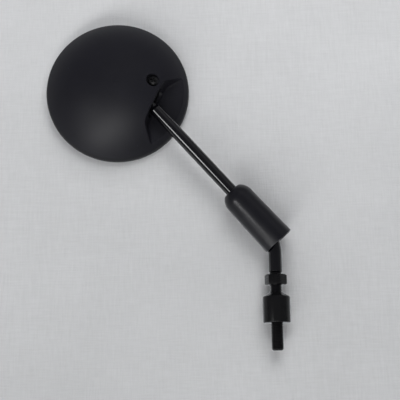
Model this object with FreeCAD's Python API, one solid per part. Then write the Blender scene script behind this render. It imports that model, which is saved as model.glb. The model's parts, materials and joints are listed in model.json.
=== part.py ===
import FreeCAD, Part
import math
import os

# Round motorcycle mirror on a bent stem, in millimetres and degrees.
# The origin is the middle of the adapter's lower shoulder. The stud points down (-Z), the stem leans
# to -X, the back of the head faces -Y and its glass faces +Y.

Vec = FreeCAD.Vector

# Threads, drawn plain at their outside diameter, and what nuts and drilled holes share
thread_dia = 9.9
thread_play = 0.05
drill_point = 118.0
nut_chamfer = 30.0
nut_face_share = 0.97

# Thread adapter
stud_length = 22.4
stud_chamfer = 1.3
adapter_dia = 22.5
adapter_edge = 0.6
shoulder_height = 22.1
shoulder_round = 1.8
cone_height = 2.9
cone_lip = 0.6
bore_depth = 15.5

# Lock nut on the lower stem's thread
nut_width = 16.0
nut_height = 8.6
nut_gap = 6.1
nut_turn = 45.0

# Lower stem, a bent rod with a threaded foot
shank_dia = 11.1
shank_gap = 1.4
shank_chamfer = 1.0
stem_tip_gap = 1.0
bend_rise = 30.4
bend_radius = 37.0
lean = 41.7

# Swivel joint under the boot
socket_stand = 1.5
socket_depth = 6.0
socket_floor = 2.5
socket_dia = 15.2
socket_chamfer = 1.2
seat_length = 8.0
seat_small_dia = 8.4
seat_large_dia = 12.6
seat_play = 0.1
cone_straight = 1.0
socket_rim = 0.5
spigot_dia = 6.4
washer_thickness = 1.0
washer_width = 1.6
union_width = 18.0
union_length = 12.0
union_cover = 3.0
union_play = 0.25
face_play = 0.05

# Upper stem and its ball
stem_dia = 10.5
arm_reach = 160.3
ball_dia = 14.0
neck_dia = 7.6
neck_length = 10.2
neck_taper = 2.4
ball_pin_dia = 6.0
ball_pin_depth = 3.0
press_play = 0.02

# Rubber boot over the swivel joint
boot_length = 57.5
boot_drop = 5.4
boot_mouth_dia = 27.7
boot_top_dia = 26.1
boot_flat_dia = 16.8
boot_shoulder = 10.0
boot_wall = 1.2
boot_grip = 7.0
boot_throat = 4.0
boot_lip_round = 0.6

# Head: domed rear shell
head_dia = 124.0
dome_rise = 30.5
dome_height = 18.0
shell_wall = 2.5
rim_round_width = 1.6
skirt_length = 2.9
skirt_wall = 2.5
rib_count = 8
rib_depth = 3.5
rib_thickness = 1.6
rib_inner_radius = 8.0

# Pocket in the shell that lets the stem swing
pocket_drop = 25.0
ball_offset = 27.0
pocket_wall_at = 34.5
pocket_width = 39.4
pocket_flare = 34.0
pocket_draft = 9.0
pocket_corner = 12.0
pocket_band = 3.4
pocket_floor_wall = 2.0
pocket_foot_round = 2.5
pocket_lip_round = 0.8
slot_width = 26.4
slot_height = 12.8
slot_corner = 4.5

# Ball cups and the clamp that holds them
cup_play = 0.1
cup_wall = 1.35
cup_opening = 11.2
seat_opening = 11.8
seat_boss_dia = 22.0
clamp_offset = 15.0
clamp_screw_dia = 3.9
clamp_hole_play = 0.25
screw_head_dia = 7.8
screw_head_height = 3.4
screw_head_sink = 0.4
cross_length = 4.8
cross_width = 1.5
cross_depth = 1.9
recess_dia = 11.2
recess_wall = 2.0
recess_floor = 3.1
column_dia = 9.2
column_gap = 0.5
plate_thickness = 2.0
plate_gap = 0.5
plate_flange = 3.0
plate_fold = 1.5
plate_overhang = 6.0
tongue_width = 8.2
tongue_reach = 23.0
hook_length = 10.0
hook_near = 16.5
hook_wall = 5.5
hook_foot = 2.4
hook_play = 0.25
spring_thickness = 0.9
spring_dia = 7.0
clamp_nut_width = 7.0
clamp_nut_height = 3.2
screw_tail = 0.8

# Glass, its gasket and the rim bezel
gasket_thickness = 0.7
gasket_width = 2.2
glass_clearance = 3.3
glass_thickness = 2.4
glass_radius = 1400.0
bezel_wall = 3.8
bezel_lip = 1.6
bezel_lip_depth = 1.4
bezel_edge_round = 1.0
bezel_play = 0.1
seam_gap = 0.15
bead_height = 0.35
bead_width = 1.0


# Shapes from profiles

def arc_to(centre, radius, start, end):
    """Middle and end point of an arc round centre, in the profile plane."""
    middle = math.radians((start + end) / 2)
    last = math.radians(end)
    return (
        centre[0] + radius * math.cos(middle),
        centre[1] + radius * math.sin(middle),
        centre[0] + radius * math.cos(last),
        centre[1] + radius * math.sin(last),
    )


def profile(start, *steps):
    """Closed wire in the XZ plane: a step of two numbers is a line, of four an arc."""
    here = Vec(start[0], 0, start[1])
    edges = []
    for step in steps + (start,):
        there = Vec(step[-2], 0, step[-1])
        if there.isEqual(here, FreeCAD.Base.Precision.confusion()):
            continue
        if len(step) == 4:
            edges.append(Part.Arc(here, Vec(step[0], 0, step[1]), there).toShape())
        else:
            edges.append(Part.LineSegment(here, there).toShape())
        here = there
    return Part.Wire(edges)


def spin(start, *steps):
    """Solid of a profile turned about the Z axis, its points as radius and height."""
    return Part.Face(profile(start, *steps)).revolve(Vec(0, 0, 0), Vec(0, 0, 1), 360)


def cylinder(radius, low, high, x=0.0, y=0.0):
    return Part.makeCylinder(radius, high - low, Vec(x, y, low))


def block(low, high):
    size = Vec(*high) - Vec(*low)
    return Part.makeBox(size.x, size.y, size.z, Vec(*low))


def hexagon_nut(width, height, bore, chamfered_ends):
    """Hexagon nut standing on Z = 0, with its corners turned off at the chosen ends."""
    corner = width / math.sqrt(3)
    points = [
        Vec(corner * math.cos(math.radians(60 * k)), corner * math.sin(math.radians(60 * k)), 0)
        for k in range(7)
    ]
    body = Part.Face(Part.makePolygon(points)).extrude(Vec(0, 0, height))
    face_r = nut_face_share * width / 2
    drop = (corner - face_r) * math.tan(math.radians(nut_chamfer))
    low = drop if "low" in chamfered_ends else 0.0
    high = height - drop if "high" in chamfered_ends else height
    low_r = face_r if low > 0 else corner
    high_r = face_r if high < height else corner
    turned = spin((0, 0), (low_r, 0), (corner, low), (corner, high), (high_r, height), (0, height))
    return body.common(turned).cut(cylinder(bore, 0, height))


def edges_along(shape, axis):
    """Straight edges that run along an axis."""
    return [edge for edge in shape.Edges if round(abs(edge.tangentAt(edge.FirstParameter).dot(axis)), 3) == 1]


def put_on_arm(shape, along=0.0):
    """Moves a shape from the Z axis to the upper stem's axis, measured from the bend's corner."""
    shape = shape.copy()
    shape.translate(Vec(0, 0, along))
    shape.Placement = FreeCAD.Placement(arm_root, arm_turn).multiply(shape.Placement)
    return shape


def put_on_head(shape):
    """Moves a shape from the head's own frame: X along the pocket, Z out of the dome's back."""
    shape = shape.copy()
    shape.Placement = FreeCAD.Placement(head_centre, head_turn).multiply(shape.Placement)
    return shape


def save(name, shape):
    shape = shape.removeSplitter()
    if not shape.isValid() or len(shape.Solids) != 1:
        raise ValueError(f"{name}: {len(shape.Solids)} solids, valid {shape.isValid()}")
    shape.Solids[0].exportStep(f"parts/{name}.step")


# Shared radii and places

thread_r = thread_dia / 2
bore_r = thread_r + thread_play
shank_r = shank_dia / 2
stem_r = stem_dia / 2
ball_r = ball_dia / 2
adapter_top = shoulder_height + cone_height
nut_low = adapter_top + nut_gap
nut_top = nut_low + nut_height
shank_low = nut_top + shank_gap
corner_height = shank_low + bend_rise
bend_tangent = bend_radius * math.tan(math.radians(lean / 2))
arm_root = Vec(0, 0, corner_height)
arm_turn = FreeCAD.Rotation(Vec(0, 1, 0), -lean)
arm_axis = arm_turn.multVec(Vec(0, 0, 1))
head_turn = FreeCAD.Rotation(Vec(0, 1, 0), pocket_drop).multiply(FreeCAD.Rotation(Vec(1, 0, 0), 90))
ball_centre = arm_root + arm_axis * arm_reach
head_centre = ball_centre - head_turn.multVec(Vec(ball_offset, 0, 0))

# Swivel joint, measured along the upper stem from the bend's corner
socket_low = bend_tangent + socket_stand
stem_end = socket_low + socket_depth
cup_floor = stem_end + socket_floor
seat_low = cup_floor + face_play
seat_top = seat_low + seat_length
union_face = seat_top + washer_thickness + 2 * face_play
union_top = union_face + union_cover
union_low = union_top - union_length

# Head, in its own frame
rim_r = head_dia / 2
seam_r = rim_r - rim_round_width
dome_radius = (dome_rise**2 + seam_r**2) / (2 * dome_rise)
sphere_height = dome_height - dome_radius
seam_height = dome_height - dome_rise


def dome_at(radius, depth=0.0):
    """Height of the dome's surface, or of one set in by depth, at a distance from the head's axis."""
    return sphere_height + math.sqrt((dome_radius - depth) ** 2 - radius**2)


plate_top = -seat_opening / 2
plate_low = plate_top - plate_thickness
clamp_nut_low = plate_low - spring_thickness - clamp_nut_height
screw_tip = clamp_nut_low - screw_tail
glass_back = min(screw_tip - glass_clearance, seam_height - skirt_length - gasket_thickness)
skirt_low = glass_back + gasket_thickness
glass_r = rim_r - bezel_wall
bezel_bore = glass_r + bezel_play + bead_height
skirt_r = bezel_bore - bezel_play
skirt_inner = skirt_r - skirt_wall
lip_back = glass_back - glass_thickness - bezel_play
bezel_front = lip_back - bezel_lip_depth
cup_inner = ball_r + cup_play
cup_outer = cup_inner + cup_wall
ball_seat = cup_outer + cup_play
pocket_floor = dome_at(seam_r - pocket_band)
wall_edge_height = dome_at(pocket_wall_at)
draft_run = math.tan(math.radians(pocket_draft))
screw_seat = dome_at(math.hypot(ball_offset, clamp_offset)) - screw_head_sink - screw_head_height
screw_hole = clamp_screw_dia / 2 + clamp_hole_play


# Lower pieces on the stud's axis

def make_adapter():
    edge_r = adapter_dia / 2
    bore_low = adapter_top - bore_depth
    cone_base = edge_r - shoulder_round
    round_low = shoulder_height - shoulder_round
    return spin(
        (0, -stud_length),
        (thread_r - stud_chamfer, -stud_length),
        (thread_r, stud_chamfer - stud_length),
        (thread_r, 0),
        (edge_r - adapter_edge, 0),
        (edge_r, adapter_edge),
        (edge_r, round_low),
        arc_to((cone_base, round_low), shoulder_round, 0, 90),
        (bore_r + cone_lip, adapter_top),
        (bore_r, adapter_top),
        (bore_r, bore_low),
        (0, bore_low - bore_r / math.tan(math.radians(drill_point / 2))),
    )


def make_lock_nut():
    nut = hexagon_nut(nut_width, nut_height, bore_r, ("low", "high"))
    nut.rotate(Vec(0, 0, 0), Vec(0, 0, 1), nut_turn)
    nut.translate(Vec(0, 0, nut_low))
    return nut


def make_lower_stem():
    tip = adapter_top - bore_depth + stem_tip_gap
    bend_start = corner_height - bend_tangent
    foot = spin(
        (0, tip),
        (thread_r - stud_chamfer, tip),
        (thread_r, tip + stud_chamfer),
        (thread_r, shank_low),
        (shank_r, shank_low + shank_chamfer),
        (shank_r, bend_start),
        (0, bend_start),
    )
    ring = Part.Wire(Part.makeCircle(shank_r, Vec(0, 0, bend_start)))
    bend = Part.Face(ring).revolve(Vec(-bend_radius, 0, bend_start), Vec(0, -1, 0), lean)
    upper = put_on_arm(cylinder(shank_r, bend_tangent, stem_end))
    return foot.fuse([bend, upper])


# Swivel joint under the boot

def make_joint_socket():
    outer = socket_dia / 2
    small = seat_small_dia / 2 + seat_play
    large = seat_large_dia / 2 + seat_play
    rim = seat_top - socket_rim
    return put_on_arm(spin(
        (shank_r + press_play, socket_low),
        (outer - socket_chamfer, socket_low),
        (outer, socket_low + socket_chamfer),
        (outer, rim),
        (large, rim),
        (large, seat_top - cone_straight),
        (small, seat_low),
        (small, cup_floor),
        (0, cup_floor),
        (0, stem_end),
        (shank_r + press_play, stem_end),
    ))


def make_stem_cone():
    small = seat_small_dia / 2
    large = seat_large_dia / 2
    pin = spigot_dia / 2 + press_play
    return put_on_arm(spin(
        (pin, seat_low),
        (small, seat_low),
        (large, seat_top - cone_straight),
        (large, seat_top),
        (pin, seat_top),
    ))


def make_joint_washer():
    inner = stem_r + union_play
    low = seat_top + face_play
    return put_on_arm(spin(
        (inner, low),
        (inner + washer_width, low),
        (inner + washer_width, low + washer_thickness),
        (inner, low + washer_thickness),
    ))


def make_joint_nut():
    nut = hexagon_nut(union_width, union_length, stem_r + union_play, ("low", "high"))
    thread = cylinder(socket_dia / 2 + thread_play, 0, union_length - union_cover)
    return put_on_arm(nut.cut(thread), union_low)


# Upper stem, ball and boot

def make_upper_stem():
    neck_r = neck_dia / 2
    pin_r = ball_pin_dia / 2
    flat = arm_reach - math.sqrt(ball_r**2 - neck_r**2)
    taper_top = arm_reach - neck_length
    return put_on_arm(spin(
        (0, seat_low),
        (spigot_dia / 2, seat_low),
        (spigot_dia / 2, seat_top),
        (stem_r, seat_top),
        (stem_r, taper_top - neck_taper),
        (neck_r, taper_top),
        (neck_r, flat),
        (pin_r, flat),
        (pin_r, arm_reach + ball_pin_depth),
        (0, arm_reach + ball_pin_depth),
    ))


def make_pivot_ball():
    neck_r = neck_dia / 2
    pin_r = ball_pin_dia / 2 + press_play
    flat = -math.sqrt(ball_r**2 - neck_r**2)
    flat_angle = math.degrees(math.asin(flat / ball_r))
    return put_on_arm(spin(
        (pin_r, flat),
        (neck_r, flat),
        arc_to((0, 0), ball_r, flat_angle, 90),
        (0, ball_pin_depth),
        (pin_r, ball_pin_depth),
    ), arm_reach)


def make_boot():
    mouth = -boot_drop
    top = mouth + boot_length
    side = top - boot_shoulder
    side_r = boot_top_dia / 2
    flat_r = boot_flat_dia / 2
    step = side_r - flat_r
    round_r = (step**2 + boot_shoulder**2) / (2 * step)
    end = math.degrees(math.asin(boot_shoulder / round_r))
    throat = top - boot_grip
    lip = boot_lip_round
    mouth_r = boot_mouth_dia / 2
    return put_on_arm(spin(
        (mouth_r - boot_wall, mouth),
        (mouth_r - lip, mouth),
        arc_to((mouth_r - lip, mouth + lip), lip, -90, 0),
        (side_r, side),
        arc_to((side_r - round_r, side), round_r, 0, end),
        (stem_r, top),
        (stem_r, throat),
        (side_r - boot_wall, throat - boot_throat),
    ))


# Head shell

def pocket_section(height, grow):
    """Outline of the pocket at one height, its walls drafted and then moved out by grow."""
    inset = (wall_edge_height - height) * draft_run - grow
    flare = math.radians(pocket_flare)
    wall = pocket_wall_at + inset
    half = pocket_width / 2 - inset * math.tan(flare / 2)
    reach = head_dia
    far_x = wall + reach * math.sin(flare)
    far_y = half + reach * math.cos(flare)
    setback = pocket_corner * math.tan(flare / 2)
    shift_x = setback * math.sin(flare)
    shift_y = setback * math.cos(flare)
    sag = pocket_corner * (1 / math.cos(flare / 2) - 1)
    middle_x = wall + sag * math.cos(flare / 2)
    middle_y = half - sag * math.sin(flare / 2)

    def point(x, y):
        return Vec(x, y, height)

    low_wall = point(wall, setback - half)
    high_wall = point(wall, half - setback)
    high_flare = point(wall + shift_x, half + shift_y)
    low_flare = point(wall + shift_x, -half - shift_y)
    edges = [
        Part.LineSegment(low_wall, high_wall),
        Part.Arc(high_wall, point(middle_x, middle_y), high_flare),
        Part.LineSegment(high_flare, point(far_x, far_y)),
        Part.LineSegment(point(far_x, far_y), point(far_x, -far_y)),
        Part.LineSegment(point(far_x, -far_y), low_flare),
        Part.Arc(low_flare, point(middle_x, -middle_y), low_wall),
    ]
    return Part.Wire([edge.toShape() for edge in edges])


def make_pocket_space(floor, grow=0.0, foot_round=0.0):
    """Space of the pocket above its floor, between drafted walls."""
    high = dome_height + shell_wall
    space = Part.makeLoft([pocket_section(floor, grow), pocket_section(high, grow)], True, True)
    if foot_round == 0:
        return space
    foot = []
    for edge in space.Edges:
        ends = [vertex.Point for vertex in edge.Vertexes]
        on_floor = all(round(p.z - floor, 3) == 0 for p in ends)
        if on_floor and min(p.x for p in ends) < rim_r:
            foot.append(edge)
    return space.makeFillet(foot_round, foot)


def dome_solid(depth, edge_r, low):
    """Solid under the dome's sphere, or one set in by depth, down to a flat end."""
    radius = dome_radius - depth
    start = math.degrees(math.asin(math.sqrt(radius**2 - edge_r**2) / radius))
    return spin(
        (0, low),
        (edge_r, low),
        (edge_r, dome_at(edge_r, depth)),
        arc_to((0, sphere_height), radius, start, 90),
    )


def round_pocket_lip(body):
    """Rounds the edge where the pocket's walls leave the dome."""
    lip = []
    for edge in body.Edges:
        middle = edge.valueAt((edge.FirstParameter + edge.LastParameter) / 2)
        on_dome = round(middle.distanceToPoint(Vec(0, 0, sphere_height)) - dome_radius, 3) == 0
        inside_rim = round(seam_r - math.hypot(middle.x, middle.y), 3) > 0
        if on_dome and inside_rim:
            lip.append(edge)
    return body.makeFillet(pocket_lip_round, lip)


def make_ribs():
    """Radial stiffening ribs under the dome."""
    band = dome_solid(shell_wall, skirt_inner, seam_height)
    band = band.cut(dome_solid(shell_wall + rib_depth, skirt_inner - rib_depth, seam_height))
    ribs = []
    for number in range(rib_count):
        rib = block(
            (rib_inner_radius, -rib_thickness / 2, seam_height),
            (rim_r, rib_thickness / 2, dome_height),
        )
        rib.rotate(Vec(0, 0, 0), Vec(0, 0, 1), (number + 0.5) * 360 / rib_count)
        ribs.append(rib.common(band))
    hub = cylinder(rib_inner_radius + rib_thickness, 0, dome_height)
    hub = hub.cut(cylinder(rib_inner_radius, 0, dome_height)).common(band)
    return ribs[0].fuse(ribs[1:] + [hub])


def make_bosses():
    """Ball seat, screw column and tongue hook inside the shell, before they meet its walls."""
    x = ball_offset
    top = dome_height
    seat = cylinder(seat_boss_dia / 2, seat_opening / 2, top, x)
    collar = cylinder(recess_dia / 2 + recess_wall, screw_seat - recess_floor, top, x, clamp_offset)
    column = cylinder(column_dia / 2, plate_top + column_gap, top, x, clamp_offset)
    hook = block(
        (x - hook_length / 2, -hook_near - hook_wall, plate_low - hook_foot),
        (x + hook_length / 2, -hook_near, top),
    )
    window = block(
        (x - tongue_width / 2 - hook_play, -hook_near - hook_wall, plate_low - hook_play),
        (x + tongue_width / 2 + hook_play, -hook_near, plate_top + hook_play),
    )
    return seat.fuse([collar, column, hook]).cut(window)


def make_shell():
    bead_at = seam_height - skirt_length / 2
    envelope = spin(
        (0, skirt_low),
        (skirt_r, skirt_low),
        (skirt_r, bead_at - bead_width / 2),
        (skirt_r + bead_height - bezel_play, bead_at),
        (skirt_r, bead_at + bead_width / 2),
        (skirt_r, seam_height),
        (seam_r, seam_height),
        (seam_r, dome_height),
        (0, dome_height),
    )
    outer = dome_solid(0, seam_r, bezel_front)
    outer = outer.cut(make_pocket_space(pocket_floor, 0, pocket_foot_round))
    outer = round_pocket_lip(outer).common(envelope)
    cavity = dome_solid(shell_wall, skirt_inner, bezel_front)
    cavity = cavity.cut(make_pocket_space(pocket_floor - pocket_floor_wall, shell_wall))
    inside = make_bosses().fuse(make_ribs()).common(cavity)
    shell = outer.cut(cavity).fuse(inside)
    slot = block(
        (ball_offset, -slot_width / 2, -slot_height / 2),
        (rim_r, slot_width / 2, slot_height / 2),
    )
    slot = slot.makeFillet(slot_corner, edges_along(slot, Vec(1, 0, 0)))
    ball_space = Part.makeSphere(ball_seat, Vec(ball_offset, 0, 0))
    recess = cylinder(recess_dia / 2, screw_seat, dome_height, ball_offset, clamp_offset)
    screw_way = cylinder(screw_hole, bezel_front, dome_height, ball_offset, clamp_offset)
    return shell.cut(slot).cut(ball_space).cut(recess).cut(screw_way)


# Ball cups and clamp

def make_cup(rear):
    edge = cup_opening / 2
    inner = math.degrees(math.asin(edge / cup_inner))
    outer = math.degrees(math.asin(edge / cup_outer))
    cup = spin(
        (0, cup_inner),
        arc_to((0, 0), cup_inner, 90, inner),
        (cup_outer * math.cos(math.radians(outer)), edge),
        arc_to((0, 0), cup_outer, outer, 90),
    )
    if not rear:
        cup.rotate(Vec(0, 0, 0), Vec(1, 0, 0), 180)
    cup.translate(Vec(ball_offset, 0, 0))
    return cup


def make_clamp_plate():
    x = ball_offset
    wall = pocket_wall_at + (wall_edge_height - plate_top) * draft_run - shell_wall
    half = wall - plate_gap - x
    far = clamp_offset + plate_overhang
    near = column_gap - hook_near
    plate = block((x - half, near, plate_low), (x + half, far, plate_top))
    low = plate_low - plate_flange
    flanges = [
        block((x - half, near, low), (x - half + plate_fold, far, plate_low)),
        block((x + half - plate_fold, near, low), (x + half, far, plate_low)),
    ]
    plate = plate.makeFillet(plate_fold, edges_along(plate, Vec(0, 0, 1)))
    tongue = block((x - tongue_width / 2, -tongue_reach, plate_low), (x + tongue_width / 2, 0, plate_top))
    plate = plate.fuse(flanges + [tongue])
    plate = plate.cut(cylinder(screw_hole, low, 0, x, clamp_offset))
    return plate.cut(Part.makeSphere(ball_seat, Vec(x, 0, 0)))


def make_clamp_screw():
    head_r = screw_head_dia / 2
    shank = clamp_screw_dia / 2
    top = screw_seat + screw_head_height
    edge = screw_seat + screw_head_height / 2
    crown = (head_r**2 + (top - edge) ** 2) / (2 * (top - edge))
    rise = math.degrees(math.acos(head_r / crown))
    screw = spin(
        (0, screw_tip),
        (shank - screw_tail / 2, screw_tip),
        (shank, screw_tip + screw_tail / 2),
        (shank, screw_seat),
        (head_r, screw_seat),
        (head_r, edge),
        arc_to((0, top - crown), crown, rise, 90),
    )
    long = cross_length / 2
    wide = cross_width / 2
    floor = top - cross_depth
    cross = block((-long, -wide, floor), (long, wide, top))
    cross = cross.fuse(block((-wide, -long, floor), (wide, long, top)))
    screw = screw.cut(cross)
    screw.translate(Vec(ball_offset, clamp_offset, 0))
    return screw


def make_clamp_washer():
    ring = cylinder(spring_dia / 2, plate_low - spring_thickness, plate_low)
    ring = ring.cut(cylinder(screw_hole, plate_low - spring_thickness, plate_low))
    ring.translate(Vec(ball_offset, clamp_offset, 0))
    return ring


def make_clamp_nut():
    bore = clamp_screw_dia / 2 + thread_play
    nut = hexagon_nut(clamp_nut_width, clamp_nut_height, bore, ("low",))
    nut.translate(Vec(ball_offset, clamp_offset, clamp_nut_low))
    return nut


# Front of the head

def make_glass():
    sag = glass_radius - math.sqrt(glass_radius**2 - glass_r**2)
    half_sag = glass_radius - math.sqrt(glass_radius**2 - glass_r**2 / 4)
    front = glass_back - glass_thickness
    return spin(
        (0, glass_back - sag),
        (glass_r / 2, glass_back - sag + half_sag, glass_r, glass_back),
        (glass_r, front),
        (glass_r / 2, front - sag + half_sag, 0, front - sag),
    )


def make_gasket():
    return spin(
        (glass_r - gasket_width, glass_back),
        (glass_r, glass_back),
        (glass_r, skirt_low),
        (glass_r - gasket_width, skirt_low),
    )


def make_bezel():
    lean_in = math.degrees(math.acos(seam_r / dome_radius))
    round_r = rim_round_width / (1 - math.cos(math.radians(lean_in)))
    top = seam_height - seam_gap
    belly = top - round_r * math.sin(math.radians(lean_in))
    front_round = (rim_r - bezel_edge_round, bezel_front + bezel_edge_round)
    groove = seam_height - skirt_length / 2
    return spin(
        (bezel_bore, top),
        (seam_r, top),
        arc_to((rim_r - round_r, belly), round_r, lean_in, 0),
        (rim_r, front_round[1]),
        arc_to(front_round, bezel_edge_round, 0, -90),
        (glass_r - bezel_lip, bezel_front),
        (glass_r - bezel_lip, lip_back),
        (bezel_bore, lip_back),
        (bezel_bore, groove - bead_width / 2 - bezel_play),
        (bezel_bore + bead_height, groove),
        (bezel_bore, groove + bead_width / 2 + bezel_play),
    )


# Build and save every piece

os.makedirs("parts", exist_ok=True)

save("thread_adapter", make_adapter())
save("lock_nut", make_lock_nut())
save("lower_stem", make_lower_stem())
save("joint_socket", make_joint_socket())
save("stem_cone", make_stem_cone())
save("joint_washer", make_joint_washer())
save("joint_nut", make_joint_nut())
save("upper_stem", make_upper_stem())
save("pivot_ball", make_pivot_ball())
save("boot", make_boot())

save("mirror_shell", put_on_head(make_shell()))
save("rear_ball_cup", put_on_head(make_cup(True)))
save("front_ball_cup", put_on_head(make_cup(False)))
save("clamp_plate", put_on_head(make_clamp_plate()))
save("clamp_screw", put_on_head(make_clamp_screw()))
save("clamp_washer", put_on_head(make_clamp_washer()))
save("clamp_nut", put_on_head(make_clamp_nut()))
save("mirror_glass", put_on_head(make_glass()))
save("glass_gasket", put_on_head(make_gasket()))
save("rim_bezel", put_on_head(make_bezel()))
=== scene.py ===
# %% [markdown]
# # A round motorcycle mirror
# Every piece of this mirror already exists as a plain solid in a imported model, which fixes each size and
# place. This lesson dresses that model: it models what the solids leave plain, such as the screw threads,
# gives each surface its finish, and sets up the light and the camera. All lengths are metres in the model's
# own frame: the stud points down, the stem leans to -X, the domed back faces -Y and the glass faces +Y.

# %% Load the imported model
import json
import math

import bpy
from mathutils import Matrix, Vector


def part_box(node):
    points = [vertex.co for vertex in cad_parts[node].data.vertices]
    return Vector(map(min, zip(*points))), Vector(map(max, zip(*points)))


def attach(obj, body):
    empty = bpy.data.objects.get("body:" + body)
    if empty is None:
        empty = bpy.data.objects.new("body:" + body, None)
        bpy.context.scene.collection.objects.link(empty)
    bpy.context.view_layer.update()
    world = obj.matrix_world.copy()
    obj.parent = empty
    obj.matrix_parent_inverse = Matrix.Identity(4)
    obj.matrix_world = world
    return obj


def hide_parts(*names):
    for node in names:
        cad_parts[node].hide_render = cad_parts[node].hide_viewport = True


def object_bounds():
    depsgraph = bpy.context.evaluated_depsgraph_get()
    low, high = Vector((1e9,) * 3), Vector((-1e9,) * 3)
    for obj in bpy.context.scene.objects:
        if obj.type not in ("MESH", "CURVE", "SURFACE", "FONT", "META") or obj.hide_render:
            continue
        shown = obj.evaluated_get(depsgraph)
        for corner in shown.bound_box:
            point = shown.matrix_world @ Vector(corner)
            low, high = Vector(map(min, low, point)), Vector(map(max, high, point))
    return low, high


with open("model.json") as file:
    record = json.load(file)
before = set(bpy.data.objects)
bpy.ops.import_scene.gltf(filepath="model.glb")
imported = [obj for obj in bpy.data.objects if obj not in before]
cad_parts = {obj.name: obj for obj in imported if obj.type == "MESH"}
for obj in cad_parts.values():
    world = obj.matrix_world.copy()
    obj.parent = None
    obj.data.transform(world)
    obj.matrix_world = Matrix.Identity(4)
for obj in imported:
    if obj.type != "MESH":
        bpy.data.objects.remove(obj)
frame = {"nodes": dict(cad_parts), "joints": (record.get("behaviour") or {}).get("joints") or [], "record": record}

mm = 0.001
cad_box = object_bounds()
nodes = frame["nodes"]
joints = {joint["name"]: joint for joint in frame["joints"]}
slots = {part["node"]: part["material_slot"] for part in frame["record"]["subparts"]}
print("solids:", len(nodes), "joints:", list(joints))

# %% [markdown]
# The places that the new pieces need come from the model itself. The swivel joint gives the point where the
# stem bends and the direction of the straight stem, and the boxes of the solids give heights and radii, so
# nothing has to be fitted by eye.

# %% Places read from the model
adapter_low, adapter_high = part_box("thread_adapter")
nut_low, nut_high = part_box("lock_nut")
bezel_low, bezel_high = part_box("rim_bezel")
stem_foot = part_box("lower_stem")[0].z
arm_root = Vector(joints["arm_swivel"]["pos_m"])
arm_axis = Vector(joints["arm_swivel"]["axis"]).normalized()
lean = math.acos(arm_axis.z)
head_centre = (bezel_low + bezel_high) / 2
print("stem leans", round(math.degrees(lean), 2), "degrees; head centre", head_centre)

# %% [markdown]
# ## Tools for modelling
# Operators act on whatever is selected, as they do by hand. Each helper therefore clears the selection first
# and then takes up its own piece, so that no step can reach a piece that is already finished.

# %% Selection
def ready():
    """Leaves edit mode and selects nothing."""
    if bpy.context.mode != "OBJECT":
        bpy.ops.object.mode_set(mode="OBJECT")
    bpy.ops.object.select_all(action="DESELECT")


def take(piece):
    """Makes one piece the only selected object."""
    ready()
    bpy.context.view_layer.objects.active = piece
    piece.select_set(True)


# %% [markdown]
# A turned part is quickest to make as on a lathe: draw half of its outline from a single vertex, then spin
# that line about the axis. Extruding rings would do too, but an outline of points is easier to read and to
# change.

# %% Outlines and the lathe
merge_distance = 0.002 * mm


def draw_outline(name, points):
    """Draws (radius, height) points from one vertex, extruded from point to point, and stays in edit mode."""
    ready()
    bpy.ops.mesh.primitive_plane_add(size=mm)
    piece = bpy.context.object
    piece.name = piece.data.name = name
    bpy.ops.object.mode_set(mode="EDIT")
    bpy.ops.mesh.select_mode(type="VERT")
    bpy.ops.mesh.select_all(action="SELECT")
    bpy.ops.mesh.merge(type="CENTER")
    here = Vector((points[0][0], 0, points[0][1]))
    bpy.ops.transform.translate(value=here)
    for radius, height in points[1:]:
        there = Vector((radius, 0, height))
        bpy.ops.mesh.extrude_region_move(TRANSFORM_OT_translate={"value": there - here})
        here = there
    return piece


def close_up():
    """Merges doubled vertices and turns all faces outwards."""
    bpy.ops.mesh.select_all(action="SELECT")
    bpy.ops.mesh.remove_doubles(threshold=merge_distance)
    bpy.ops.mesh.normals_make_consistent(inside=False)


def lathe(name, points, steps=96):
    """A turned solid about the Z axis."""
    piece = draw_outline(name, points)
    bpy.ops.mesh.select_all(action="SELECT")
    bpy.ops.mesh.spin(steps=steps, angle=2 * math.pi, center=(0, 0, 0), axis=(0, 0, 1))
    close_up()
    ready()
    return piece


def arc(centre, radius, start, end, steps=8):
    """Points of an arc in an outline, with its angles in degrees."""
    angles = [math.radians(start + (end - start) * k / steps) for k in range(steps + 1)]
    return [(centre[0] + radius * math.cos(a), centre[1] + radius * math.sin(a)) for a in angles]


# %% [markdown]
# Real parts have no perfectly sharp edges: a narrow bevel catches the light along each one. Boolean
# modifiers stand for the workshop's cuts, such as a drilled bore, and they are applied at once so that the
# finished piece is one plain mesh.

# %% Cuts and bevels
def combine(piece, other, operation):
    """Joins, cuts or trims a piece with another one, which is used up."""
    take(piece)
    boolean = piece.modifiers.new("boolean", "BOOLEAN")
    boolean.operation = operation
    boolean.solver = "EXACT"
    boolean.object = other
    bpy.ops.object.modifier_apply(modifier=boolean.name)
    bpy.data.objects.remove(other)


def soften(piece, width, limit=35):
    """Bevels the edges that are sharper than a limit in degrees."""
    take(piece)
    bevel = piece.modifiers.new("bevel", "BEVEL")
    bevel.width = width
    bevel.segments = 2
    bevel.limit_method = "ANGLE"
    bevel.angle_limit = math.radians(limit)
    bpy.ops.object.modifier_apply(modifier=bevel.name)


def smooth(piece, limit=35):
    """Shades a piece smoothly across the edges that are blunter than a limit in degrees."""
    take(piece)
    bpy.ops.object.shade_smooth_by_angle(angle=math.radians(limit))


# %% [markdown]
# A piece that was turned about the Z axis is moved to its real place at the end, and the place is written
# into its mesh. It then takes over from its plain solid: it moves with the same body of the model, and later
# it takes the finish of the same material slot.

# %% Placing and taking over
def move_to(piece, matrix):
    """Moves a finished piece and writes its place into its mesh."""
    take(piece)
    piece.matrix_world = matrix
    bpy.ops.object.transform_apply(location=True, rotation=True, scale=True)


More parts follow.
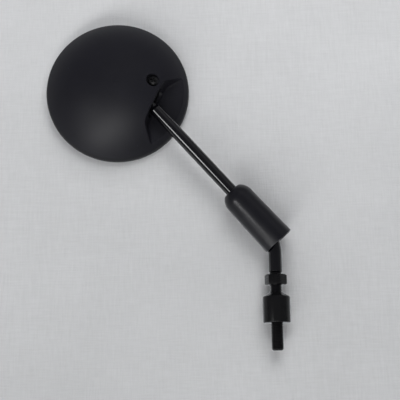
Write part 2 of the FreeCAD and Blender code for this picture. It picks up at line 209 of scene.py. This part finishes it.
def stand_for(piece, node, body):
    """Puts a new piece in the place of a plain solid, on the same body; its finish is given later, from the same
    slot.
    """
    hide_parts(node)
    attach(piece, body)
    print(piece.name, "stands for", node, "with", len(piece.data.polygons), "faces")


# %% [markdown]
# ## Screw threads
# A thread is one ridge wound round a core. The Screw modifier sweeps an outline round the axis while it
# climbs, so the outline of a single pitch, swept for enough turns, gives the whole thread. The raw ends are
# cut flat with bisect, a little too long, and a blank that is a hair wider than the crests then trims the
# end to a chamfer, as on a real stud.

# %% Threaded rod
thread_pitch = 1.25 * mm
thread_depth = 0.36 * thread_pitch
crest_flat = 0.40 * thread_pitch
root_flat = 0.15 * thread_pitch
thread_steps = 48
thread_r = 4.95 * mm
root_r = thread_r - thread_depth
raw_end = thread_pitch / 4
blank_room = merge_distance * 10
print("thread of", round(2 * thread_r / mm, 2), "mm on a core of", round(2 * root_r / mm, 2), "mm")


def wind_thread(name, low, high):
    """One pitch of the thread's outline, swept upwards past both ends."""
    flank = (thread_pitch - crest_flat - root_flat) / 2
    start = low - thread_pitch
    rod = draw_outline(name, [
        (root_r, start),
        (root_r, start + root_flat),
        (thread_r, start + root_flat + flank),
        (thread_r, start + root_flat + flank + crest_flat),
        (root_r, start + thread_pitch),
    ])
    take(rod)
    screw = rod.modifiers.new("thread", "SCREW")
    screw.axis = "Z"
    screw.angle = 2 * math.pi
    screw.screw_offset = thread_pitch
    screw.iterations = math.ceil((high - low) / thread_pitch) + 2
    screw.steps = screw.render_steps = thread_steps
    bpy.ops.object.modifier_apply(modifier=screw.name)
    return rod


def threaded_rod(name, low, high, end_chamfer):
    """A threaded rod about the Z axis, chamfered at its low end."""
    rod = wind_thread(name, low, high)
    bpy.ops.object.mode_set(mode="EDIT")
    close_up()
    raw_low = low - raw_end
    bpy.ops.mesh.bisect(plane_co=(0, 0, raw_low), plane_no=(0, 0, 1), use_fill=True, clear_inner=True)
    bpy.ops.mesh.select_all(action="SELECT")
    bpy.ops.mesh.bisect(plane_co=(0, 0, high), plane_no=(0, 0, 1), use_fill=True, clear_outer=True)
    close_up()
    ready()
    blank_r = thread_r + blank_room
    blank = lathe(name + "_blank", [
        (0, low),
        (thread_r - end_chamfer, low),
        (blank_r, low + end_chamfer),
        (blank_r, high + mm),
        (0, high + mm),
    ])
    combine(rod, blank, "INTERSECT")
    return rod


# %% [markdown]
# ## Thread adapter
# The adapter is a turned steel piece: a stud that screws into the handlebar, a wide body and a threaded hole
# for the stem. Body and stud are modelled apart and then united, so that the bevel softens only the body.

# %% Model the adapter
adapter_edge = 0.6 * mm
shoulder_height = 22.1 * mm
shoulder_round = 1.8 * mm
cone_lip = 0.6 * mm
bore_r = 5.0 * mm
bore_depth = 15.5 * mm
stud_chamfer = 1.3 * mm
edge_softness = 0.18 * mm


def model_adapter():
    body_r = adapter_high.x
    top = adapter_high.z
    round_low = shoulder_height - shoulder_round
    body = lathe("adapter_turned", [
        (0, 0),
        (body_r - adapter_edge, 0),
        (body_r, adapter_edge),
        *arc((body_r - shoulder_round, round_low), shoulder_round, 0, 90),
        (bore_r + cone_lip, top),
        (bore_r, top - cone_lip),
        (bore_r, top - bore_depth),
        (0, top - bore_depth),
    ])
    soften(body, edge_softness)
    stud = threaded_rod("stud_thread", adapter_low.z, cone_lip, stud_chamfer)
    combine(body, stud, "UNION")
    smooth(body)
    return body


adapter = model_adapter()
stand_for(adapter, "thread_adapter", "base")

# %% [markdown]
# ## Lower stem
# The lower stem is a rod that was threaded at its foot and then bent. A disc is swept round the bend with
# spin and drawn out straight along the arm, and then its first face is pulled down to the foot. By hand that
# face would be clicked; here it is found by its place and its direction.

# %% Pick faces
def select_faces(piece, test):
    """Selects in edit mode the faces whose centre and normal pass a test."""
    bpy.ops.mesh.select_mode(type="FACE")
    bpy.ops.mesh.select_all(action="DESELECT")
    bpy.ops.object.mode_set(mode="OBJECT")
    for face in piece.data.polygons:
        face.select = test(face.center, face.normal)
    bpy.ops.object.mode_set(mode="EDIT")


# %% Model the lower stem
shank_r = 5.55 * mm
shank_low = 41.1 * mm
shank_chamfer = 1.0 * mm
bend_radius = 37.0 * mm
bend_steps = 20
stem_hidden = 7.5 * mm
rod_sides = 64
facing_along = 0.99


def sweep_bend(bend_start):
    """The bend of the rod and its straight end in the joint, left in edit mode."""
    ready()
    bpy.ops.mesh.primitive_circle_add(vertices=rod_sides, radius=shank_r, fill_type="NGON")
    stem = bpy.context.object
    stem.name = stem.data.name = "lower_stem_bent"
    bpy.ops.object.mode_set(mode="EDIT")
    bpy.ops.mesh.select_all(action="SELECT")
    bpy.ops.transform.translate(value=(0, 0, bend_start))
    bpy.ops.mesh.spin(steps=bend_steps, angle=lean, center=(-bend_radius, 0, bend_start), axis=(0, 1, 0))
    bpy.ops.mesh.extrude_region_move(TRANSFORM_OT_translate={"value": arm_axis * stem_hidden})
    return stem


def model_lower_stem():
    bend_start = arm_root.z - bend_radius * math.tan(lean / 2)
    stem = sweep_bend(bend_start)

    def is_first(centre, normal):
        return abs(centre.z - bend_start) < merge_distance and abs(normal.z) > facing_along

    select_faces(stem, is_first)
    shank_end = shank_low + shank_chamfer
    bpy.ops.mesh.extrude_region_move(TRANSFORM_OT_translate={"value": (0, 0, shank_end - bend_start)})
    bpy.ops.mesh.extrude_region_move(TRANSFORM_OT_translate={"value": (0, 0, -shank_chamfer)})
    neck = root_r / shank_r
    bpy.ops.transform.resize(value=(neck, neck, 1), center_override=(0, 0, shank_low))
    close_up()
    ready()
    soften(stem, edge_softness)
    foot = threaded_rod("stem_thread", stem_foot, shank_end, stud_chamfer)
    combine(stem, foot, "UNION")
    smooth(stem)
    return stem


lower_stem = model_lower_stem()
stand_for(lower_stem, "lower_stem", "lower_arm")

# %% [markdown]
# ## Lock nut
# A hexagon nut is a six-sided bar with its corners turned off. A six-sided cylinder is trimmed by a turned
# blank with chamfered ends, which leaves the curved edges that every nut shows, and then it is bored.

# %% Model the lock nut
nut_width = 16.0 * mm
nut_turn = math.radians(45)
nut_chamfer = math.radians(30)
nut_face_share = 0.97
first_corner = math.radians(30)


def six_sided_bar(corner, low, high):
    """A six-sided cylinder, turned so that its first corner stands where the nut's does."""
    ready()
    bpy.ops.mesh.primitive_cylinder_add(
        vertices=6,
        radius=corner,
        depth=high - low,
        location=(0, 0, (low + high) / 2),
        rotation=(0, 0, nut_turn - first_corner),
    )
    bar = bpy.context.object
    bar.name = bar.data.name = "lock_nut_hexagon"
    bpy.ops.object.transform_apply(location=True, rotation=True, scale=True)
    return bar


def model_lock_nut():
    corner = nut_width / math.sqrt(3)
    face_r = nut_face_share * nut_width / 2
    drop = (corner - face_r) * math.tan(nut_chamfer)
    low, high = nut_low.z, nut_high.z
    over = mm
    nut = six_sided_bar(corner, low, high)
    blank = lathe("nut_blank", [
        (0, low),
        (face_r, low),
        (corner, low + drop),
        (corner + over, low + drop),
        (corner + over, high - drop),
        (corner, high - drop),
        (face_r, high),
        (0, high),
    ])
    combine(nut, blank, "INTERSECT")
    bore = lathe("nut_bore", [
        (0, low - over),
        (bore_r + cone_lip + over, low - over),
        (bore_r, low + cone_lip),
        (bore_r, high - cone_lip),
        (bore_r + cone_lip + over, high + over),
        (0, high + over),
    ])
    combine(nut, bore, "DIFFERENCE")
    soften(nut, edge_softness)
    smooth(nut)
    return nut


lock_nut = model_lock_nut()
stand_for(lock_nut, "lock_nut", "lock_nut")

# %% [markdown]
# ## Rubber boot
# The boot is a moulded rubber sleeve that widens a little towards its mouth. Its outline runs up the outside,
# over the round shoulder to the stem, and back down the inside, so the spun wall has its real thickness.

# %% Model the boot
boot_drop = 5.4 * mm
boot_length = 57.5 * mm
boot_mouth_r = 13.85 * mm
boot_top_r = 13.05 * mm
boot_flat_r = 8.4 * mm
boot_shoulder = 10.0 * mm
boot_wall = 1.2 * mm
boot_grip = 7.0 * mm
boot_throat = 4.0 * mm
boot_lip = 0.6 * mm
stem_r = 5.25 * mm


def model_boot():
    mouth = -boot_drop
    top = mouth + boot_length
    side = top - boot_shoulder
    step = boot_top_r - boot_flat_r
    round_r = (step**2 + boot_shoulder**2) / (2 * step)
    end = math.degrees(math.asin(boot_shoulder / round_r))
    throat = top - boot_grip
    boot = lathe("boot_moulded", [
        (boot_mouth_r - boot_wall, mouth),
        *arc((boot_mouth_r - boot_lip, mouth + boot_lip), boot_lip, -90, 0),
        *arc((boot_top_r - round_r, side), round_r, 0, end, steps=16),
        (stem_r, top),
        (stem_r, throat),
        (boot_top_r - boot_wall, throat - boot_throat),
        (boot_mouth_r - boot_wall, mouth),
    ], steps=128)
    soften(boot, edge_softness)
    smooth(boot, limit=40)
    move_to(boot, Matrix.Translation(arm_root) @ Matrix.Rotation(-lean, 4, "Y"))
    return boot


boot = model_boot()
stand_for(boot, "boot", "upper_arm")

# %% [markdown]
# ## Mirror glass
# The mirror is a disc cut from a large glass ball, so that it shows a wider view than a flat one. Its bulge
# is only a millimetre, and a mirror betrays every uneven face, so it is spun from many points on the true
# arc.

# %% Model the glass
glass_low, glass_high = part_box("mirror_glass")
glass_radius = 1400 * mm
glass_thickness = 2.4 * mm
glass_rings = 32


def model_glass():
    edge_r = (glass_high.x - glass_low.x) / 2
    edge_height = math.sqrt(glass_radius**2 - edge_r**2)
    radii = [edge_r * k / glass_rings for k in range(glass_rings + 1)]
    bulge = [math.sqrt(glass_radius**2 - r**2) - edge_height for r in radii]
    back = [(r, glass_low.y + b) for r, b in zip(radii, bulge)]
    front = [(r, y + glass_thickness) for r, y in reversed(back)]
    glass = lathe("glass_convex", back + front, steps=128)
    soften(glass, edge_softness)
    smooth(glass)
    middle = Matrix.Translation((head_centre.x, 0, head_centre.z))
    move_to(glass, middle @ Matrix.Rotation(-math.pi / 2, 4, "X"))
    return glass


glass = model_glass()
stand_for(glass, "mirror_glass", "head")

# %% [markdown]
# ## Finishes
# A finish is a small graph of shader nodes. Written as wires and boxes it is hard to read, so one class wraps
# a node's output and gives it Python's arithmetic: each operator adds a Math node.

# %% Wires with arithmetic
class Wire:
    """One output of a node, with Python's arithmetic."""

    def __init__(self, graph, socket):
        self.graph = graph
        self.socket = socket

    def math(self, operation, *values):
        return self.graph.node("ShaderNodeMath", {"operation": operation}, dict(enumerate(values)))

    def __add__(self, other):
        return self.math("ADD", self, other)

    def __sub__(self, other):
        return self.math("SUBTRACT", self, other)

    def __rsub__(self, other):
        return self.math("SUBTRACT", other, self)

    def __mul__(self, other):
        return self.math("MULTIPLY", self, other)

    __radd__ = __add__
    __rmul__ = __mul__

    def larger(self, other):
        return self.math("MAXIMUM", self, other)

    def swing(self, amount):
        """Turns a tone from 0 to 1 into a change of up to half the amount either way."""
        return (self - 0.5) * amount


# %% [markdown]
# The graph adds every node with one method, which takes the node's type, its settings and what feeds its
# sockets. Three short methods on top of it name the jobs that come back: a blend of two colours, a smooth
# step between two limits, and a question about the ray that is being traced.

# %% Node graphs
class Graph:
    """The node graph of a material or of the world."""

    def __init__(self, tree):
        self.tree = tree

    def node(self, kind, settings=None, inputs=None, output=0):
        """Adds a node, makes its settings, fills or links its inputs and gives back one output."""
        made = self.tree.nodes.new(kind)
        for name, value in (settings or {}).items():
            setattr(made, name, value)
        for name, value in (inputs or {}).items():
            self.feed(made.inputs[name], value)
        return Wire(self, made.outputs[output])

    def feed(self, socket, value):
        """Links a wire to a socket, or sets the socket's own value."""
        if isinstance(value, Wire):
            self.tree.links.new(value.socket, socket)
        else:
            socket.default_value = value

    def blend(self, factor, first, second):
        """A colour between two colours; the Mix node's colour sockets are numbers 6 and 7, and output 2."""
        return self.node("ShaderNodeMix", {"data_type": "RGBA"}, {0: factor, 6: first, 7: second}, 2)

    def between(self, value, low, high):
        """0 below low, 1 above high and a smooth step between."""
        inputs = {"Value": value, "From Min": low, "From Max": high}
        return self.node("ShaderNodeMapRange", {"interpolation_type": "SMOOTHSTEP"}, inputs)

    def ray(self, question):
        """An answer of the Light Path node about the ray that asks."""
        return self.node("ShaderNodeLightPath", output=question)


# %% [markdown]
# All finishes share a few textures: soft noise, small specks and a bump. They read Object coordinates, so the
# grain stays on its piece however the piece moves, and its size is the same on every piece.

# %% Shared textures
class Finish(Graph):
    """A material with the textures that the finishes share."""

    def __init__(self, name):
        self.material = bpy.data.materials.new(name)
        self.material.use_nodes = True
        super().__init__(self.material.node_tree)
        self.shader = self.tree.nodes["Principled BSDF"]
        self.place = self.node("ShaderNodeTexCoord", output="Object")

    def noise(self, size, detail=2.0, stretch=(1, 1, 1)):
        """Soft random tones from 0 to 1, with features about size metres across."""
        place = self.node("ShaderNodeMapping", None, {"Vector": self.place, "Scale": stretch})
        inputs = {"Vector": place, "Scale": 1 / size, "Detail": detail}
        return self.node("ShaderNodeTexNoise", None, inputs)

    def specks(self, spacing, share):
        """Small scattered spots, 1 at each middle and 0 outside."""
        inputs = {"Vector": self.place, "Scale": 1 / spacing}
        distance = self.node("ShaderNodeTexVoronoi", None, inputs, "Distance")
        return 1 - self.between(distance, share / 2, share)

    def distance_from(self, point):
        """The distance from a point, in metres."""
        inputs = {0: self.place, 1: point}
        return self.node("ShaderNodeVectorMath", {"operation": "DISTANCE"}, inputs, "Value")

    def bump(self, height, depth):
        """A surface direction for a relief that is depth metres deep."""
        return self.node("ShaderNodeBump", None, {"Height": height, "Distance": depth})

    def surface(self, sockets):
        """Fills the shader's sockets and gives back the material."""
        for name, value in sockets.items():
            self.feed(self.shader.inputs[name], value)
        return self.material


# %% [markdown]
# Black is never one flat colour. The moulded shell has a fine spark-eroded grain that spreads the highlight,
# and the stem's paint is glossy with a trace of orange peel. Both mix broad cloudy tones with their own fine
# texture, and both carry a few specks of dust.

# %% Plastic and paint
def grey(level, blue=1.4):
    """A dark tone, a touch cooler than grey."""
    return (level, level, level * blue, 1)


def shades(level, darker, lighter, blue=1.4):
    """A darker and a lighter tone about one level."""
    return grey(level * darker, blue), grey(level * lighter, blue)


def moulded_plastic(name, level, roughness, shine):
    finish = Finish(name)
    cloud = finish.noise(30 * mm, detail=3)
    grain = finish.noise(0.45 * mm)
    dust = finish.specks(9 * mm, share=0.03)
    tone = finish.blend(cloud, *shades(level, darker=0.8, lighter=1.2))
    return finish.surface({
        "Base Color": finish.blend(dust * 0.35, tone, grey(0.16)),
        "Roughness": roughness + cloud.swing(0.10) + grain.swing(0.08),
        "Specular IOR Level": shine,
        "Normal": finish.bump(grain, 0.03 * mm),
    })


def gloss_paint(name, level, roughness, shine):
    finish = Finish(name)
    smear = finish.noise(14 * mm, detail=3)
    peel = finish.noise(1.6 * mm, detail=1)
    dust = finish.specks(7 * mm, share=0.04)
    tone = finish.blend(smear, *shades(level, darker=0.8, lighter=1.2))
    return finish.surface({
        "Base Color": finish.blend(dust * 0.3, tone, grey(0.12)),
        "Roughness": roughness + smear.swing(0.08) + dust * 0.2,
        "Specular IOR Level": shine,
        "Normal": finish.bump(peel, 0.012 * mm),
    })


# %% [markdown]
# Rubber lies between the two: smooth from its mould, but too soft to shine. The plated steel shows fine
# turning lines, which come from noise that is squeezed along the turning axis, and its black is neutral.

# %% Rubber and plated steel
def moulded_rubber(name, level, roughness, shine):
    finish = Finish(name)
    cloud = finish.noise(12 * mm, detail=3)
    grain = finish.noise(0.3 * mm)
    return finish.surface({
        "Base Color": finish.blend(cloud, *shades(level, darker=0.8, lighter=1.25)),
        "Roughness": roughness + cloud.swing(0.10),
        "Specular IOR Level": shine,
        "Normal": finish.bump(grain, 0.01 * mm),
    })


def plated_steel(name, level, roughness, shine):
    finish = Finish(name)
    cloud = finish.noise(8 * mm, detail=3)
    turning = finish.noise(2.5 * mm, stretch=(1, 1, 14))
    return finish.surface({
        "Base Color": finish.blend(cloud, *shades(level, darker=0.7, lighter=1.4, blue=1.1)),
        "Roughness": roughness + turning.swing(0.16),
        "Specular IOR Level": shine,
        "Normal": finish.bump(turning, 0.02 * mm),
    })


# %% [markdown]
# The glass is silvered, so to the eye it is a slightly soft metal mirror. The hidden steel and nylon pieces
# get plain finishes of their own, for the views in which the head is turned.

# %% Glass and inner pieces
def silvered_glass(name):
    finish = Finish(name)
    film = finish.noise(20 * mm, detail=3)
    return finish.surface({
        "Base Color": finish.blend(film, (0.86, 0.88, 0.89, 1), (0.90, 0.92, 0.93, 1)),
        "Metallic": 1.0,
        "Roughness": 0.015 + film * 0.02,
    })


def bright_zinc(name):
    finish = Finish(name)
    cloud = finish.noise(5 * mm, detail=3)
    brushed = finish.noise(1.5 * mm, stretch=(1, 8, 1))
    return finish.surface({
        "Base Color": finish.blend(cloud, (0.46, 0.46, 0.45, 1), (0.62, 0.62, 0.60, 1)),
        "Metallic": 1.0,
        "Roughness": 0.32 + brushed.swing(0.2),
        "Normal": finish.bump(brushed, 0.01 * mm),
    })


def black_nylon(name):
    finish = Finish(name)
    cloud = finish.noise(3 * mm, detail=3)
    return finish.surface({
        "Base Color": finish.blend(cloud, (0.008, 0.008, 0.009, 1), (0.016, 0.016, 0.017, 1)),
        "Roughness": 0.45 + cloud.swing(0.1),
        "Normal": finish.bump(cloud, 0.01 * mm),
    })


# %% [markdown]
# Each material slot of the model gets one finish. The level is how light the black is, and the shine is the
# strength of its reflection. Solids that are already right, such as the shell and its bezel, are kept and
# only dressed, and the new pieces take the finish of the solid that they stand for.

# %% Dress every piece
finishes = {
    "shell_plastic": moulded_plastic("moulded_shell", level=0.0100, roughness=0.52, shine=0.15),
    "bezel_plastic": moulded_plastic("moulded_bezel", level=0.005, roughness=0.55, shine=0.20),
    "stem_paint": gloss_paint("stem_gloss", level=0.003, roughness=0.10, shine=0.55),
    "boot_rubber": moulded_rubber("boot_satin", level=0.0068, roughness=0.30, shine=0.30),
    "gasket_rubber": moulded_rubber("gasket_soft", level=0.012, roughness=0.6, shine=0.4),
    "adapter_black": plated_steel("adapter_plating", level=0.006, roughness=0.24, shine=0.20),
    "nut_black": plated_steel("nut_plating", level=0.005, roughness=0.26, shine=0.18),
    "screw_black": plated_steel("screw_plating", level=0.008, roughness=0.45, shine=0.16),
    "silvered_glass": silvered_glass("convex_mirror"),
    "inner_steel": bright_zinc("zinc_plating"),
    "cup_nylon": black_nylon("cup_black"),
}
new_pieces = {
    "thread_adapter": adapter,
    "lower_stem": lower_stem,
    "lock_nut": lock_nut,
    "boot": boot,
    "mirror_glass": glass,
}
for node, solid in nodes.items():
    for material_slot in solid.material_slots:
        material_slot.material = finishes[slots[node]]
for node, piece in new_pieces.items():
    piece.data.materials.clear()
    piece.data.materials.append(finishes[slots[node]])
print("finishes:", len(finishes), "on", len(nodes), "solids, of which", len(new_pieces), "are modelled anew")

# %% [markdown]
# ## Backdrop
# The mirror lies on a pale cloth. One large plane is enough for it. It is tilted a little, because a mirror
# that lies down leans on the lower side of its rim: the cloth passes close behind that side and behind the
# adapter, and the far side of the head stands just off it.

# %% Backdrop cloth
backdrop_gap = 0.4 * mm
backdrop_slope = math.atan(0.0511)
backdrop_size = 3.0

foot_to_head = Vector((head_centre.x, 0, head_centre.z)) - Vector((0, 0, adapter_high.z / 2))
uphill = foot_to_head.normalized()
rim_touch = head_centre - uphill * (bezel_high.z - head_centre.z)
rim_touch.y = cad_box[1].y + backdrop_gap
cloth_normal = Vector((0, -1, 0)) + uphill * math.tan(backdrop_slope)
ready()
bpy.ops.mesh.primitive_plane_add(
    size=backdrop_size,
    location=rim_touch,
    rotation=cloth_normal.to_track_quat("Z", "Y").to_euler(),
)
cloth = bpy.context.object
cloth.name = cloth.data.name = "backdrop_cloth"
bpy.ops.object.transform_apply(location=True, rotation=True, scale=True)
print("cloth slopes", round(math.degrees(backdrop_slope), 2), "degrees and passes the rim at", rim_touch)

# %% [markdown]
# The cloth's colour is a broad mottle, a fine weave of two stretched noises and painted shade: a slow change
# from bottom to top that makes the cloth darker towards the bottom, where less light falls on it. It fades out
# far from the mirror, and its back is see-through for views from behind. The glass lies so close to it that it
# would mirror only the dark under the cloth, so mirror rays that meet the cloth after a short way pass through
# it to the room.

# %% Cloth finish
cloth_dark = (0.545, 0.552, 0.556, 1)
cloth_light = (0.735, 0.743, 0.752, 1)
# Painted shade: between these two heights the cloth's colour grows lighter upwards, so its lower part is darker,
# where less light falls.
low_edge = -0.10
high_edge = 0.30
fade_start = 0.5
fade_end = 1.2
mirror_reach = 25 * mm


def pale_cloth():
    finish = Finish("pale_cloth")
    mottle = finish.noise(90 * mm, detail=4)
    warp = finish.noise(14 * mm, detail=3, stretch=(12, 1, 1))
    weft = finish.noise(14 * mm, detail=3, stretch=(1, 1, 12))
    weave = (warp + weft) * 0.5
    height = finish.node("ShaderNodeSeparateXYZ", None, {0: finish.place}, "Z")
    # Painted shade: this ramp darkens the cloth towards the bottom and lightens it towards the top, in place of
    # light that falls unevenly on it.
    painted_shade_rise = finish.between(height, low_edge, high_edge)
    tone = mottle * 0.5 + weave.swing(0.9) + painted_shade_rise * 0.5
    finish.surface({
        "Base Color": finish.blend(tone, cloth_dark, cloth_light),
        "Roughness": 0.9,
        "Normal": finish.bump(weave, 0.5 * mm),
    })
    return finish


def leave_out(finish, unseen):
    """Makes a finish see-through where a wire is 1."""
    solid = Wire(finish, finish.shader.outputs[0])
    clear = finish.node("ShaderNodeBsdfTransparent")
    shown = finish.node("ShaderNodeMixShader", None, {0: unseen, 1: solid, 2: clear})
    finish.feed(finish.tree.nodes["Material Output"].inputs["Surface"], shown)


weave_finish = pale_cloth()
cloth_back = weave_finish.node("ShaderNodeNewGeometry", output="Backfacing")
far_away = weave_finish.between(weave_finish.distance_from(rim_touch), fade_start, fade_end)
short_way = 1 - weave_finish.between(weave_finish.ray("Ray Length"), mirror_reach - mm, mirror_reach)
opening = weave_finish.ray("Is Glossy Ray") * short_way
leave_out(weave_finish, cloth_back.larger(far_away).larger(opening))
cloth.data.materials.append(weave_finish.material)
print("cloth finish:", len(weave_finish.tree.nodes), "nodes")

# %% [markdown]
# ## Light
# Glossy black shows the lamps more than its own colour, so each lamp has one job. The long window lights
# the cloth from low on the left, and its glint, which shows only in reflections, draws the broad sheen at the
# foot of the dome. The bright pane draws the narrow line down the stem, the soft wall at the upper right
# lifts the other edges, and the high fill lights the cloth from above. Hiding a lamp from mirror rays, or
# from matt surfaces, keeps these jobs apart.

# %% Lamps
stage_middle = (cad_box[0] + cad_box[1]) / 2
lamp_distance = 2.6
window_way = (-0.257, -0.619, -0.743)
window_size = (3.0, 0.60)
window_sill = (-0.8675, 0.4974, 0)
glint_sill = (-0.8675, 0.4974, -0.52)
level_sill = (1, 0, 0)


def lamp(name, towards, size, sill, brightness, distance=lamp_distance, mirrored=True, spread=True):
    """A soft box at a direction and distance from the mirror, facing it, its first side along the sill."""
    back = Vector(towards).normalized()
    side = (Vector(sill) - Vector(sill).dot(back) * back).normalized()
    data = bpy.data.lights.new(name, "AREA")
    data.shape = "RECTANGLE"
    data.size, data.size_y = size
    data.energy = brightness * math.pi * size[0] * size[1]
    light = bpy.data.objects.new(name, data)
    turn = Matrix((side, back.cross(side), back)).transposed().to_4x4()
    light.matrix_world = Matrix.Translation(stage_middle + back * distance) @ turn
    light.visible_camera = False
    light.visible_glossy = mirrored
    light.visible_diffuse = spread
    bpy.context.scene.collection.objects.link(light)
    print("lamp", name, "of", round(data.energy, 1), "watts")


lamp("long_window", window_way, window_size, window_sill, brightness=7.5, mirrored=False)
lamp("window_glint", window_way, window_size, glint_sill, brightness=18.5, spread=False)
lamp("bright_pane", (-0.640, -0.688, -0.342), (0.70, 0.54), window_sill, brightness=10.2, spread=False)
lamp("soft_wall", (0.360, -0.660, 0.660), (2.8, 1.6), level_sill, brightness=0.22)
lamp("high_fill", (0.12, -0.74, 0.66), (1.2, 1.2), level_sill, brightness=2.9, distance=1.5, mirrored=False)

# %% [markdown]
# The world is the room around the stage: dim on the camera's side, which the black pieces mirror, and pale
# elsewhere. The Light Path node tells which kind of ray asks. The camera and clear glass see the pale room,
# and so do mirror rays on the side that the glass faces. All other rays get the dim room, so the pale
# background puts no more light on the mirror.

# %% World
pale_low = (0.50, 0.51, 0.53, 1)
pale_high = (0.74, 0.76, 0.79, 1)
dim_front = (0.14, 0.14, 0.15, 1)
dim_side = (0.19, 0.19, 0.20, 1)


def make_world():
    world = bpy.data.worlds.new("studio")
    bpy.context.scene.world = world
    world.use_nodes = True
    graph = Graph(world.node_tree)
    direction = graph.node("ShaderNodeTexCoord", output="Generated")
    height = graph.node("ShaderNodeSeparateXYZ", None, {0: direction}, "Z")
    depth = graph.node("ShaderNodeSeparateXYZ", None, {0: direction}, "Y")
    pale = graph.blend(graph.between(height + depth, low=-1.0, high=1.0), pale_low, pale_high)
    dim = graph.blend(graph.between(depth, low=-1.0, high=-0.3), dim_front, dim_side)
    behind = graph.between(depth, low=-0.1, high=0.5)
    seen = graph.ray("Is Camera Ray").larger(graph.ray("Is Transmission Ray"))
    mirrored = graph.ray("Is Glossy Ray") * behind
    colour = graph.blend(seen.larger(mirrored), dim, pale)
    graph.feed(world.node_tree.nodes["Background"].inputs["Color"], colour)
    print("world:", len(world.node_tree.nodes), "nodes")


make_world()

# %% [markdown]
# ## Camera
# The camera looks at the mirror's back, a little from below, through a long lens. Its place, direction and
# roll were worked out from the outline of the head and the line of the stem. The Standard view shows a
# colour about as it is written.

# %% Camera
camera_target = Vector((-61.55, 0, 103.1)) * mm
camera_distance = 800 * mm
camera_azimuth = math.radians(-2.17)
camera_elevation = math.radians(-11.30)
camera_roll = math.radians(0.90)
focal_pixels = 955.2
picture_pixels = 400


def make_camera():
    forward = Vector((
        -math.sin(camera_azimuth) * math.cos(camera_elevation),
        math.cos(camera_azimuth) * math.cos(camera_elevation),
        -math.sin(camera_elevation),
    ))
    level = Vector((math.cos(camera_azimuth), math.sin(camera_azimuth), 0))
    upright = level.cross(forward)
    right = math.cos(camera_roll) * level - math.sin(camera_roll) * upright
    up = math.sin(camera_roll) * level + math.cos(camera_roll) * upright
    data = bpy.data.cameras.new("camera")
    data.lens = data.sensor_width * focal_pixels / picture_pixels
    camera = bpy.data.objects.new("camera", data)
    turn = Matrix((right, up, -forward)).transposed().to_4x4()
    camera.matrix_world = Matrix.Translation(camera_target - forward * camera_distance) @ turn
    bpy.context.scene.collection.objects.link(camera)
    bpy.context.scene.camera = camera
    print("camera with a lens of", round(data.lens, 1), "mm at", camera.matrix_world.translation)


make_camera()
bpy.context.scene.view_settings.view_transform = "Standard"
